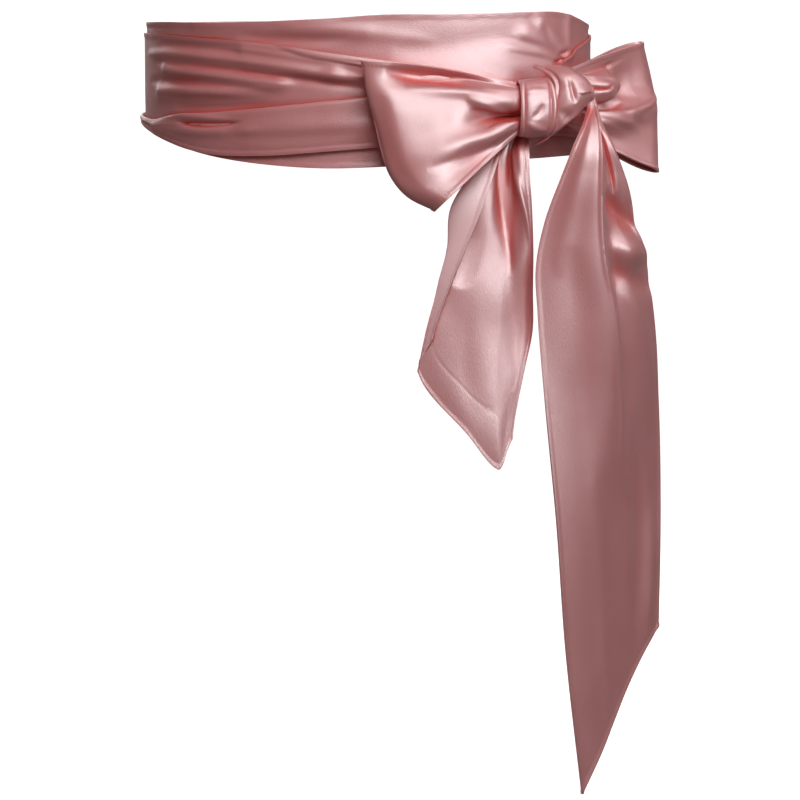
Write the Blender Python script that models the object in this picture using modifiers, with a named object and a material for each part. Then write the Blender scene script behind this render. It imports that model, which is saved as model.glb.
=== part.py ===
"""Satin sash, wound twice round a waist and tied in a bow with two tails on the front corner.

Metres, +Z up. The origin is on the axis of the waist at the middle of the sash's height.
+X is the side that carries the bow, -Y is the front.
Inside the functions all sizes are millimetres; MM turns them into metres at the end.
"""
import math

import bmesh
import bpy
import numpy as np

MM = 0.001
SAME_PLACE = 0.00001      # metres within which the two ends of a closed turn are joined

# Driving sizes, in millimetres
WALL = 1.0                # satin, doubled and hemmed
LAYER = 1.5               # from the middle of one layer to the middle of the next
WAIST_HALF_WIDTH = 139.5  # middle of the inner wrap, side to side
WAIST_HALF_DEPTH = 101.0  # middle of the inner wrap, front to back
WAIST_SHIFT = 1.0
TURN_STATIONS = 64        # stations round the waist, shared by both wraps
MM_PER_DEGREE = 2.1       # mean length of one degree round the waist

# Colours and finish of the satin
SATIN_COLOUR = (0.62, 0.27, 0.29, 1.0)
SATIN_ROUGHNESS = 0.36


def table(columns, *rows):
    """Rows of numbers under named columns."""
    names = columns.split()
    return {name: np.array([row[i] for row in rows], float) for i, name in enumerate(names)}


def read(rows, key, name, at):
    """Smooth values of one column where the key column has the values at."""
    keys = rows[key]
    values = rows[name]
    slopes = np.gradient(values, keys)
    at = np.clip(at, keys[0], keys[-1])
    i = np.clip(np.searchsorted(keys, at) - 1, 0, len(keys) - 2)
    span = keys[i + 1] - keys[i]
    t = (at - keys[i]) / span
    start = values[i] * (1 + 2 * t) + slopes[i] * span * t
    end = values[i + 1] * (3 - 2 * t) + slopes[i + 1] * span * (t - 1)
    return start * (1 - t) ** 2 + end * t ** 2


def through(points, at):
    """Points of smooth curves, one for each place; at runs from 0 to 1 with equal shares."""
    points = np.asarray(points, float)
    count = len(points) - 1
    place = np.arange(points.shape[1])
    share = np.clip(at, 0.0, 1.0) * count
    i = np.minimum(share.astype(int), count - 1)
    t = (share - i)[:, None]
    before = points[np.maximum(i - 1, 0), place]
    start = points[i, place]
    end = points[i + 1, place]
    after = points[np.minimum(i + 2, count), place]
    span = np.linalg.norm(end - start, axis=1, keepdims=True)
    span_before = np.linalg.norm(start - before, axis=1, keepdims=True)
    span_after = np.linalg.norm(after - end, axis=1, keepdims=True)
    slope_in = (end - before) * span / (span + span_before)
    slope_out = (after - start) * span / (span + span_after)
    blend = t * t * (3 - 2 * t)
    return (start * (1 - blend) + end * blend
            + slope_in * t * (1 - t) ** 2 + slope_out * t * t * (t - 1))


def fold_height(folds, along, across):
    """Height of soft folds, each a ridge or a trough along a line that fades at both ends."""
    height = np.zeros_like(along)
    for i in range(len(folds["size"])):
        line_along = folds["to_along"][i] - folds["from_along"][i]
        line_across = folds["to_across"][i] - folds["from_across"][i]
        length = math.hypot(line_along, line_across)
        offset_along = along - folds["from_along"][i]
        offset_across = across - folds["from_across"][i]
        near = (offset_along * line_along + offset_across * line_across) / length
        beside = (offset_along * line_across - offset_across * line_along) / length
        past = np.maximum(0.0, np.maximum(-near, near - length))
        height += folds["size"][i] * np.exp(-(beside ** 2 + past ** 2) / folds["width"][i] ** 2)
    return height


def satin():
    """The one cloth that the whole sash is cut from."""
    material = bpy.data.materials.new("blush_satin")
    material.use_nodes = True
    shader = material.node_tree.nodes["Principled BSDF"]
    shader.inputs["Base Color"].default_value = SATIN_COLOUR
    shader.inputs["Roughness"].default_value = SATIN_ROUGHNESS
    shader.inputs["Metallic"].default_value = 0.0
    return material


def cloth(name, columns, rows, surface, closed=False):
    """A cloth wall: a grid bent to surface(u, v), joined round if closed, and thickened."""
    grid = bmesh.new()
    bmesh.ops.create_grid(grid, x_segments=columns, y_segments=rows, size=0.5)
    places = np.array([(vert.co.x, vert.co.y) for vert in grid.verts], float) + 0.5
    points = surface(places[:, 0], places[:, 1]) * MM
    for vert, point in zip(grid.verts, points):
        vert.co = point
    if closed:
        bmesh.ops.remove_doubles(grid, verts=grid.verts, dist=SAME_PLACE)
    mesh = bpy.data.meshes.new(name)
    grid.to_mesh(mesh)
    grid.free()
    mesh.shade_smooth()
    mesh.materials.append(bpy.data.materials["blush_satin"])
    piece = bpy.data.objects.new(name, mesh)
    bpy.data.collections["satin_sash"].objects.link(piece)
    wall = piece.modifiers.new("wall", "SOLIDIFY")
    wall.thickness = WALL * MM
    wall.offset = 0.0
    return piece


# The waist: angle 0 is +X, -90 is the front, 180 is the far side

WRAP_EDGES = table(
    "angle  inner_top  inner_low  outer_top  fold_lip  tuck  outer_low",
    (-180, 45.0, -20.5, 38.5, -12.5, 4.0, -18.5),
    (-166, 45.0, -23.0, 38.0, -14.5, 4.5, -21.5),
    (-158, 45.0, -26.0, 37.4, -15.6, 6.0, -24.6),
    (-150, 44.9, -29.5, 36.6, -13.6, 8.0, -28.5),
    (-142, 44.5, -33.2, 35.6, -11.6, 9.0, -32.4),
    (-134, 44.2, -36.5, 34.6, -10.8, 9.0, -35.2),
    (-116, 44.8, -41.6, 31.4, -7.4, 10.0, -36.0),
    (-100, 46.4, -43.6, 25.6, -3.3, 10.0, -33.2),
    (-86, 48.9, -42.6, 20.9, 0.0, 10.0, -30.3),
    (-70, 49.2, -40.2, 15.9, -1.0, 9.0, -27.6),
    (-56, 50.0, -39.4, 10.4, -5.0, 7.0, -25.8),
    (-42, 50.9, -38.6, 8.2, -8.0, 5.0, -24.6),
    (-33, 51.0, -38.0, 18.6, -7.0, 5.0, -25.0),
    (-24, 48.5, -37.6, 27.6, -4.0, 6.0, -26.5),
    (-12, 44.6, -37.0, 33.8, -2.0, 8.0, -28.5),
    (6, 43.0, -35.0, 37.6, -2.0, 9.0, -29.0),
    (40, 44.0, -33.0, 36.0, -5.0, 9.0, -28.0),
    (80, 46.0, -33.5, 33.5, -8.0, 9.0, -29.0),
    (120, 46.5, -30.0, 35.5, -9.0, 8.0, -26.5),
    (150, 45.5, -24.0, 38.0, -11.0, 6.0, -21.5),
    (180, 45.0, -20.5, 38.5, -12.5, 4.0, -18.5),
)

# Soft folds of the wraps; along is the angle times MM_PER_DEGREE, across is the height
INNER_FOLDS = table(
    "from_along  from_across  to_along  to_across  width  size",
    (-84, 44, -58, 24, 5.0, 1.6),
    (-96, 38, -72, 21, 5.0, 1.2),
    (-56, 46, -56, 30, 5.0, 1.4),
    (-290, 42, -190, 39, 5.0, 0.8),
    (60, 42, 190, 45, 5.0, 1.2),
    (200, 41, 330, 42, 5.0, 1.0),
)
OUTER_FOLDS = table(
    "from_along  from_across  to_along  to_across  width  size",
    (-318, 18, -205, 13, 5.0, 2.0),
    (-205, 13, -120, 2, 5.0, 1.8),
    (-325, 2, -235, 6, 6.0, 2.2),
    (-255, 27, -160, 16, 5.0, 2.4),
    (-98, 0, -82, 2, 12.0, 3.2),
    (-66, 8, -8, 10, 6.0, 2.2),
    (20, 22, 150, 16, 6.0, 2.0),
    (60, 6, 190, 10, 6.0, 1.8),
    (215, 20, 330, 16, 6.0, 2.2),
    (200, 4, 310, 6, 6.0, 1.6),
)
LOWER_FOLDS = table(
    "from_along  from_across  to_along  to_across  width  size",
    (-330, -20, -270, -20, 5.0, 1.0),
    (-250, -22, -150, -16, 7.0, 1.4),
    (-98, -13, -84, -12, 10.0, 1.6),
    (-60, -18, -20, -14, 5.0, 1.2),
    (40, -16, 180, -20, 6.0, 1.2),
)
LOWER_SHARES = 8.6        # points of the outer section before its lower panel
LIP_REST = 6.0            # height above the lip where the upper panel lies flat


def waist_points(angle, height, offset):
    """Points round the waist, offset outward from the middle of the inner wrap."""
    turn = np.radians(angle)
    return np.stack((WAIST_SHIFT + (WAIST_HALF_WIDTH + offset) * np.cos(turn),
                     (WAIST_HALF_DEPTH + offset) * np.sin(turn),
                     height), axis=1)


def edge(name, angle):
    return read(WRAP_EDGES, "angle", name, angle)


def inner_wrap(u, v):
    """The first turn, smooth and at its full height."""
    angle = 360.0 * u - 180.0
    low = edge("inner_low", angle)
    height = low + (edge("inner_top", angle) - low) * v
    return waist_points(angle, height, fold_height(INNER_FOLDS, angle * MM_PER_DEGREE, height))


def outer_wrap(u, v):
    """The second turn: an upper panel that tucks behind the folded lip of a lower panel."""
    angle = 360.0 * u - 180.0
    top = edge("outer_top", angle)
    lip = edge("fold_lip", angle)
    low = edge("outer_low", angle)
    turn = lip - edge("tuck", angle)
    section = (
        (1.0, top),
        (1.0, top + 0.22 * (lip - top)),
        (1.0, top + 0.48 * (lip - top)),
        (1.0, top + 0.76 * (lip - top)),
        (1.0, turn + 1.4),
        (1.5, turn),
        (2.0, turn + 1.4),
        (2.0, lip - 1.8),
        (2.7, lip),
        (3.3, lip - 1.9),
        (3.0, lip + 0.4 * (low - lip)),
        (2.6, lip + 0.75 * (low - lip)),
        (1.8, low),
    )
    points = [np.stack((np.full_like(angle, layers * LAYER), height), axis=1) for layers, height in section]
    offset, height = through(points, v).T
    along = angle * MM_PER_DEGREE
    share = v * (len(section) - 1)
    above = np.clip((height - lip - LIP_REST) / LIP_REST, 0.0, 1.0)
    below = np.clip(share - LOWER_SHARES, 0.0, 1.0)
    offset = offset + above * fold_height(OUTER_FOLDS, along, height)
    offset = offset + below * fold_height(LOWER_FOLDS, along, height)
    offset = offset + fold_height(INNER_FOLDS, along, height)
    return waist_points(angle, height, offset)


# The knot: an upright band round the necks of the bow, and the strand crossing beside it

KNOT_BAND = table(
    "share  x  y  z  yaw  half_height  half_depth",
    (0.00, 93.0, -97.4, -7.4, 8, 15.8, 11.6),
    (0.25, 97.0, -96.4, -7.3, 12, 17.2, 12.6),
    (0.60, 102.5, -94.0, -7.2, 22, 17.6, 12.8),
    (0.85, 106.6, -92.2, -6.9, 31, 17.6, 12.6),
    (1.00, 108.6, -91.2, -6.7, 36, 17.2, 12.0),
)
KNOT_ROUNDNESS = 0.86     # 1 is an ellipse, less is boxier


def rounded(wave):
    """A sine or cosine pushed outward, for a section boxier than an ellipse."""
    return np.sign(wave) * np.abs(wave) ** KNOT_ROUNDNESS


def knot_band(u, v):
    """The upright turn of cloth that holds the necks of the loops."""
    around = 2 * math.pi * u
    x, y, z, yaw, half_height, half_depth = (
        read(KNOT_BAND, "share", name, v) for name in ("x", "y", "z", "yaw", "half_height", "half_depth"))
    up = half_height * rounded(np.cos(around))
    out = half_depth * rounded(np.sin(around))
    yaw = np.radians(yaw)
    return np.stack((x + out * np.sin(yaw), y - out * np.cos(yaw), z + up), axis=1)


KNOT_CROSS = table(
    "share  x  top  low  front  back  lean  tuck  begin  end",
    (0.00, 117.2, 17.2, -30.0, -98.0, -76, 15.0, 5.0, -45, 220),
    (0.20, 120.5, 18.4, -25.5, -100.0, -74, 9.0, 1.0, -25, 205),
    (0.45, 126.0, 17.9, -17.5, -99.5, -71, 4.0, 0.0, -5, 190),
    (0.70, 132.2, 13.6, -9.5, -96.0, -72, 1.5, 0.0, 5, 185),
    (0.88, 136.6, 8.4, -4.0, -91.5, -76, 0.0, 0.0, 10, 180),
    (1.00, 139.0, 4.6, -1.6, -87.5, -79, 0.0, 0.0, 10, 180),
)
LEAN_POWER = 4.0          # how tightly the strand's top and foot lean over the band
TUCK_POWER = 8.0          # how tightly its front tucks under the band's edge


def knot_cross(u, v):
    """The strand that crosses beside the band and closes over the right of the knot."""
    x, top, low, front, back, lean, tuck, begin, end = (
        read(KNOT_CROSS, "share", name, v)
        for name in ("x", "top", "low", "front", "back", "lean", "tuck", "begin", "end"))
    around = np.radians(begin + (end - begin) * u)
    up = np.cos(around)
    out = np.sin(around)
    return np.stack((x - lean * np.abs(up) ** LEAN_POWER - tuck * np.abs(out) ** TUCK_POWER,
                     (front + back) / 2 - (back - front) / 2 * out,
                     (top + low) / 2 + (top - low) / 2 * up), axis=1)


# The bow: each loop is one hairpin of cloth from the knot to its turn and back.
# A form table gives how far the front layer stands out, at even shares of the reach.

LEFT_LOOP_EDGES = table(
    "across  front_x  front_y  front_z  back_x  back_y  back_z  turn_x  turn_y  turn_z  lift",
    (0.00, 98, -98.5, 4.4, 98, -95.0, 4.0, -1.2, -119, 21.2, 3.8),
    (0.20, 98, -103.4, 1.8, 98, -92.5, 2.0, 2.2, -120, 0.4, 3.0),
    (0.38, 98, -103.2, -8.4, 98, -91.0, -3.0, 6.9, -121, -18.0, 1.0),
    (0.52, 98, -97.0, -10.0, 98, -91.0, -8.0, 10.2, -121, -32.0, 0.0),
    (0.68, 98, -102.6, -14.0, 98, -91.0, -12.5, 15.5, -122, -47.0, 0.0),
    (0.85, 98, -101.0, -16.8, 98, -92.5, -15.6, 26.5, -123, -60.0, 0.0),
    (1.00, 98, -98.5, -17.2, 98, -94.0, -16.8, 42.5, -124, -68.0, 0.0),
)
LEFT_LOOP_FORM = table(
    "across  neck  near  pinch  inner  middle  outer  rim  turn",
    (0.00, 0, 1.5, 2.5, 3.0, 3.5, 5.0, 7.0, 6.0),
    (0.08, 0, 1.5, 1.0, -1.0, -1.5, 1.0, 6.0, 7.0),
    (0.18, 0, 4.5, 7.5, 7.5, 7.5, 8.0, 9.0, 8.0),
    (0.30, 0, 6.0, 8.5, 9.5, 10.0, 10.5, 10.5, 8.5),
    (0.39, 0, 2.0, 4.0, 10.5, 11.5, 11.5, 11.0, 9.0),
    (0.47, 0, -2.6, 2.6, 11.5, 13.0, 12.5, 11.5, 9.0),
    (0.56, 0, -1.0, 7.0, 13.5, 15.0, 14.0, 12.0, 9.0),
    (0.68, 0, 6.5, 11.5, 15.5, 17.0, 15.5, 12.5, 9.0),
    (0.79, 0, 6.0, 9.5, 11.5, 14.5, 15.0, 13.0, 9.0),
    (0.89, 0, 2.5, 3.5, 6.0, 11.0, 14.0, 13.0, 9.0),
    (1.00, 0, 1.0, 1.0, 5.0, 11.5, 14.5, 13.5, 9.0),
)
LEFT_LOOP_BACK = table(
    "from_along  from_across  to_along  to_across  width  size",
    (38, 9, 74, 11, 7.0, -2.0),
    (88, 6, 66, 26, 8.0, 1.5),
    (66, 26, 36, 33, 8.0, 1.5),
    (26, 98, 47, 85, 9.0, -1.8),
    (47, 85, 74, 76, 10.0, -1.5),
)
RIGHT_LOOP_EDGES = table(
    "across  front_x  front_y  front_z  back_x  back_y  back_z  turn_x  turn_y  turn_z  lift",
    (0.00, 124, -82.6, 16.3, 126, -76.0, 15.0, 173.5, -6, 33.0, 1.5),
    (0.20, 125, -84.0, 9.5, 127, -72.0, 8.0, 178.5, -9, 12.0, 0.0),
    (0.36, 126, -86.0, 2.0, 128, -70.0, 2.0, 181.0, -14, -2.0, 0.0),
    (0.52, 126, -81.0, -3.0, 128, -70.0, -4.0, 181.6, -20, -15.0, 0.0),
    (0.72, 125, -84.2, -10.0, 127, -70.0, -10.0, 181.8, -27, -31.5, 0.0),
    (1.00, 123, -77.0, -17.0, 125, -72.0, -16.0, 181.6, -36, -48.5, -3.0),
)
RIGHT_LOOP_FORM = table(
    "across  neck  near  pinch  inner  middle  outer  rim  turn",
    (0.00, 0, 1.5, 3.0, 4.5, 5.5, 6.0, 6.5, 5.5),
    (0.10, 0, 2.0, 2.5, 3.0, 3.5, 4.5, 6.0, 5.5),
    (0.19, 0, 4.0, 8.0, 5.0, 1.0, 3.0, 6.0, 5.5),
    (0.28, 0, 4.5, 13.0, 8.0, 0.0, 3.0, 6.0, 5.5),
    (0.37, 0, 4.0, 11.0, 4.0, 0.0, 6.0, 9.0, 5.5),
    (0.46, 0, -0.5, 0.0, -1.0, 5.0, 10.5, 10.5, 6.0),
    (0.56, 0, -2.0, -2.0, 5.0, 11.5, 11.0, 9.0, 6.0),
    (0.65, 0, 2.5, 8.0, 12.5, 11.5, 8.5, 7.5, 6.0),
    (0.74, 0, 4.0, 9.0, 9.5, 7.5, 7.0, 7.0, 6.0),
    (0.86, 0, 3.0, 5.0, 5.0, 5.5, 6.0, 6.5, 6.0),
    (1.00, 0, 2.0, 4.0, 5.5, 6.5, 7.0, 7.5, 6.0),
)
RIGHT_LOOP_BACK = table(
    "from_along  from_across  to_along  to_across  width  size",
    (8, 32, 30, 26, 8.0, 2.5),
    (20, 45, 58, 40, 9.0, -2.5),
    (14, 60, 84, 46, 9.0, 2.0),
    (40, 82, 80, 84, 12.0, -1.3),
)
BACK_SWELL = table(
    "reach  left  right",
    (0.00, 0.0, 0.0),
    (0.10, 0.0, 0.4),
    (0.40, 1.0, 2.0),
    (0.65, 3.5, 4.0),
    (0.88, 5.5, 5.0),
    (1.00, 6.0, 5.0),
)
LOOP_TURN = 0.16          # share of the reach that the round of the turn takes
LOOP_REACH = 92.0         # mean length of a loop from neck to turn
LOOP_WIDTH = 102.0        # width of the cloth across a loop
LOOP_SPACING = 1.7        # above 1, the stations lie closer near the turn
PINCH_FADE = 3.2          # how soon the neck's pinch opens out
FREE_REACH = 0.18         # share of the reach where the back's folds grow to full height
LEFT_OUTWARD = (-0.05, -1.0, 0.0)
RIGHT_OUTWARD = (0.8, -0.6, 0.0)


def form_height(form, reach, across):
    """How far the front of a loop stands out, smooth both ways over its form table."""
    columns = [name for name in form if name != "across"]
    heights = np.stack([read(form, "across", name, across) for name in columns])
    last = len(columns) - 1
    place = np.arange(len(reach))
    share = np.clip(reach, 0.0, 1.0) * last
    i = np.minimum(share.astype(int), last - 1)
    t = share - i
    before = heights[np.maximum(i - 1, 0), place]
    start = heights[i, place]
    end = heights[i + 1, place]
    after = heights[np.minimum(i + 2, last), place]
    blend = t * t * (3 - 2 * t)
    return (start * (1 - blend) + end * blend
            + (end - before) / 2 * t * (1 - t) ** 2 + (after - start) / 2 * t * t * (t - 1))


def loop(edges, form, back_folds, side, outward):
    """The surface of a loop; u runs from the front neck round the turn to the back neck."""
    def corner(name, across):
        return np.stack([read(edges, "across", name + axis, across) for axis in ("_x", "_y", "_z")], axis=1)

    def surface(u, v):
        across = 1.0 - v
        front = u < 0.5
        from_turn = np.abs(1.0 - 2.0 * u) ** LOOP_SPACING
        reach = 1.0 - from_turn
        ends = []
        for at in (across, np.zeros_like(v), np.ones_like(v)):
            ends.append(np.where(front[:, None], corner("front", at), corner("back", at)))
        neck, top, low = ends
        line = top + (low - top) * across[:, None]
        points = line + (corner("turn", across) - line) * reach[:, None]
        points = points + (neck - line) * (from_turn ** PINCH_FADE)[:, None]
        points[:, 2] += read(edges, "across", "lift", across) * np.sin(math.pi * reach)
        folds = fold_height(back_folds, reach * LOOP_REACH, across * LOOP_WIDTH)
        back = read(BACK_SWELL, "reach", side, reach) + folds * np.clip(reach / FREE_REACH, 0.0, 1.0)
        height = np.where(front, form_height(form, reach, across), -back)
        round_off = np.sqrt(1.0 - (1.0 - np.minimum(from_turn / LOOP_TURN, 1.0)) ** 2)
        return points + np.outer(height * round_off, outward)
    return surface


# The tails: lines that run down the cloth, from the folded margin to the far edge

LEFT_TAIL = table(
    "z  hem_x  hem_y  fold_x  fold_y  face_x  face_y  valley_x  valley_y  ridge_x  ridge_y  edge_x  edge_y",
    (-227, 43.0, -111.0, 30.0, -109, 62.0, -107, 81.0, -103, 87.0, -101, 88.0, -99),
    (-200, 42.0, -109.5, 30.0, -108, 62.0, -105.5, 80.0, -102, 87.0, -98.5, 91.0, -96),
    (-167, 41.0, -110.0, 32.5, -106, 58.0, -103, 80.0, -99.5, 92.0, -95, 97.5, -91),
    (-143, 42.0, -110.5, 36.5, -106, 60.0, -101.5, 82.0, -97.5, 95.0, -92, 102.5, -86.5),
    (-119, 50.3, -110.5, 43.0, -106.5, 63.0, -101, 84.0, -97.5, 97.0, -92, 102.5, -86),
    (-93, 60.6, -109.5, 49.5, -107, 70.0, -99, 88.0, -94, 98.5, -95, 102.4, -89),
    (-64, 72.4, -107.5, 53.5, -106, 77.0, -98, 90.0, -89, 96.0, -97, 101.2, -92),
    (-48, 78.0, -103.0, 64.0, -101.5, 81.0, -95, 89.0, -87, 94.0, -96, 100.2, -93),
    (-31, 84.2, -97.0, 80.5, -95.0, 86.0, -90.0, 89.5, -86.5, 94.0, -92, 99.8, -90),
    (-26, 87.0, -92.4, 84.5, -89.6, 88.0, -87.0, 91.5, -84.5, 95.0, -88.0, 99.8, -85),
    (-19.1, 91.4, -87.0, 88.8, -85.7, 92.0, -83.9, 94.5, -82.3, 97.0, -82.8, 99.5, -80.5),
)
LEFT_TAIL_ENDS = {"hem": -146, "fold": -168, "face": -205, "valley": -227, "ridge": -216, "edge": -208}

RIGHT_TAIL = table(
    "z  left_x  left_y  panel_x  panel_y  fold_x  fold_y  valley_x  valley_y  ripple_x  ripple_y  edge_x  edge_y",
    (-431, 134.4, -98, 150.0, -80, 160.0, -66, 170.0, -50, 179.0, -35, 187.0, -18),
    (-340, 123.8, -98, 139.0, -82, 151.0, -66, 163.0, -50, 175.0, -34, 187.2, -18),
    (-259, 117.5, -98, 135.0, -85, 149.0, -70, 163.0, -53, 176.0, -36, 187.5, -20),
    (-185, 110.0, -98, 130.0, -90, 152.0, -80, 163.0, -64, 175.0, -46, 184.5, -28),
    (-132, 105.3, -98, 127.0, -96, 150.5, -90, 156.0, -75, 169.0, -62, 179.5, -44),
    (-104, 104.0, -98, 124.0, -98, 145.5, -95, 151.0, -80, 163.0, -74, 174.5, -54),
    (-76, 109.2, -98, 127.0, -99, 143.2, -98, 149.0, -84, 158.0, -76, 167.0, -65),
    (-48, 119.5, -98, 131.0, -101, 142.9, -100, 147.0, -88, 153.0, -84, 158.6, -75),
    (-30, 126.7, -97, 134.5, -100, 142.6, -99, 145.0, -90, 148.0, -88, 151.3, -82),
    (-14, 133.9, -88.5, 137.5, -91.0, 141.2, -91, 142.0, -86.5, 142.6, -84.5, 143.4, -82),
    (-7, 135.8, -82.8, 137.6, -83.0, 140.0, -82.9, 141.0, -81.1, 141.4, -80.0, 141.8, -79.0),
    (-1, 135.0, -81.6, 136.6, -81.6, 138.2, -81.2, 139.2, -80.0, 139.6, -79.0, 140.0, -78.0),
)
RIGHT_TAIL_ENDS = {"left": -431, "panel": -409, "fold": -392, "valley": -374, "ripple": -357, "edge": -340}
TAIL_SPACING = 1.5        # above 1, the stations lie closer near the knot


def tail(rows, ends):
    """The surface of a tail; u runs down from the knot to the slanted cut, v runs across."""
    top = rows["z"][-1]

    def surface(u, v):
        points = []
        for line, end in ends.items():
            height = top + (end - top) * u ** TAIL_SPACING
            points.append(np.stack((read(rows, "z", line + "_x", height),
                                    read(rows, "z", line + "_y", height),
                                    height), axis=1))
        return through(points, v)
    return surface


def build():
    for piece in list(bpy.data.objects):
        bpy.data.objects.remove(piece)
    sash = bpy.data.collections.new("satin_sash")
    bpy.context.scene.collection.children.link(sash)
    satin()
    cloth("band_inner_wrap", TURN_STATIONS, 6, inner_wrap, closed=True)
    cloth("band_outer_wrap", TURN_STATIONS, 12, outer_wrap, closed=True)
    cloth("knot_band", 20, 5, knot_band, closed=True)
    cloth("knot_cross", 14, 8, knot_cross)
    cloth("bow_loop_left", 28, 18,
          loop(LEFT_LOOP_EDGES, LEFT_LOOP_FORM, LEFT_LOOP_BACK, "left", LEFT_OUTWARD))
    cloth("bow_loop_right", 28, 18,
          loop(RIGHT_LOOP_EDGES, RIGHT_LOOP_FORM, RIGHT_LOOP_BACK, "right", RIGHT_OUTWARD))
    cloth("tail_left", 20, 15, tail(LEFT_TAIL, LEFT_TAIL_ENDS))
    cloth("tail_right", 24, 15, tail(RIGHT_TAIL, RIGHT_TAIL_ENDS))


build()
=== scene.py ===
"""The satin sash as it looks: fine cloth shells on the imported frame, with hems, stitching and light.

Metres, +Z up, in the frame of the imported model: the origin is on the axis of the waist.
Inside the surface functions all sizes are millimetres; MM turns them into metres.
"""
import math

import bpy
import numpy as np
from mathutils.bvhtree import BVHTree
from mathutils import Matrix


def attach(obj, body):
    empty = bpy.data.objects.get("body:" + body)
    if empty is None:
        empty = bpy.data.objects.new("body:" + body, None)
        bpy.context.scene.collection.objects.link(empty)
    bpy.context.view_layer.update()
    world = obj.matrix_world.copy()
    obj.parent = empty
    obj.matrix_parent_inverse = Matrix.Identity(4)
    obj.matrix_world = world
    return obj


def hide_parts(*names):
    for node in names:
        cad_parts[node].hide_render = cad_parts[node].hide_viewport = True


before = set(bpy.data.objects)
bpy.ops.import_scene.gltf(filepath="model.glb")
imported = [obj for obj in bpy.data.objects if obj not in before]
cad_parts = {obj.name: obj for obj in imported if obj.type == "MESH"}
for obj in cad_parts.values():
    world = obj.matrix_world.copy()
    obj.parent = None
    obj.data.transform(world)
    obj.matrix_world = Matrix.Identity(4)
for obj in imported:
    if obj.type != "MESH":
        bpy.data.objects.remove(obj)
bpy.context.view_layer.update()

MM = 0.001

# The form that the solids have, in millimetres
LAYER = 1.5               # from the middle of one layer to the middle of the next
WAIST_HALF_WIDTH = 139.5  # middle of the inner wrap, side to side
WAIST_HALF_DEPTH = 101.0  # middle of the inner wrap, front to back
WAIST_SHIFT = 1.0
MM_PER_DEGREE = 2.1       # mean length of one degree round the waist

# The cloth
CLOTH = 0.55              # thickness of the flat cloth
HEM_WIDTH = 3.2           # from the edge to the line of stitches
HEM_EXTRA = 0.90          # how much thicker the cloth is inside the hem
HEM_STEP = 0.5            # width of the step down from the hem to the single cloth
STITCH_GROOVE = 0.85      # how deep the thread pulls the cloth in
STITCH_WIDTH = 0.45       # half width of that groove
STITCH_PITCH = 2.4        # from one stitch to the next
STITCH_REST = 0.30        # share of the groove that stays between two stitches


def table(columns, *rows):
    """Rows of numbers under named columns."""
    names = columns.split()
    return {name: np.array([row[i] for row in rows], float) for i, name in enumerate(names)}


def read(rows, key, name, at):
    """Smooth values of one column where the key column has the values at."""
    keys = rows[key]
    values = rows[name]
    slopes = np.gradient(values, keys)
    at = np.clip(at, keys[0], keys[-1])
    i = np.clip(np.searchsorted(keys, at) - 1, 0, len(keys) - 2)
    span = keys[i + 1] - keys[i]
    t = (at - keys[i]) / span
    start = values[i] * (1 + 2 * t) + slopes[i] * span * t
    end = values[i + 1] * (3 - 2 * t) + slopes[i + 1] * span * (t - 1)
    return start * (1 - t) ** 2 + end * t ** 2


def through(points, at):
    """Points of smooth curves, one for each place; at runs from 0 to 1 with equal shares."""
    points = np.asarray(points, float)
    count = len(points) - 1
    place = np.arange(points.shape[1])
    share = np.clip(at, 0.0, 1.0) * count
    i = np.minimum(share.astype(int), count - 1)
    t = (share - i)[:, None]
    before = points[np.maximum(i - 1, 0), place]
    start = points[i, place]
    end = points[i + 1, place]
    after = points[np.minimum(i + 2, count), place]
    span = np.linalg.norm(end - start, axis=1, keepdims=True)
    span_before = np.linalg.norm(start - before, axis=1, keepdims=True)
    span_after = np.linalg.norm(after - end, axis=1, keepdims=True)
    slope_in = (end - before) * span / (span + span_before)
    slope_out = (after - start) * span / (span + span_after)
    blend = t * t * (3 - 2 * t)
    return (start * (1 - blend) + end * blend
            + slope_in * t * (1 - t) ** 2 + slope_out * t * t * (t - 1))


def fold_height(folds, along, across):
    """Height of soft folds, each a ridge or a trough along a line that fades at both ends."""
    height = np.zeros_like(along)
    for i in range(len(folds["size"])):
        line_along = folds["to_along"][i] - folds["from_along"][i]
        line_across = folds["to_across"][i] - folds["from_across"][i]
        length = math.hypot(line_along, line_across)
        offset_along = along - folds["from_along"][i]
        offset_across = across - folds["from_across"][i]
        near = (offset_along * line_along + offset_across * line_across) / length
        beside = (offset_along * line_across - offset_across * line_along) / length
        past = np.maximum(0.0, np.maximum(-near, near - length))
        height += folds["size"][i] * np.exp(-(beside ** 2 + past ** 2) / folds["width"][i] ** 2)
    return height


# The waist: angle 0 is +X, -90 is the front, 180 is the far side

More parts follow.
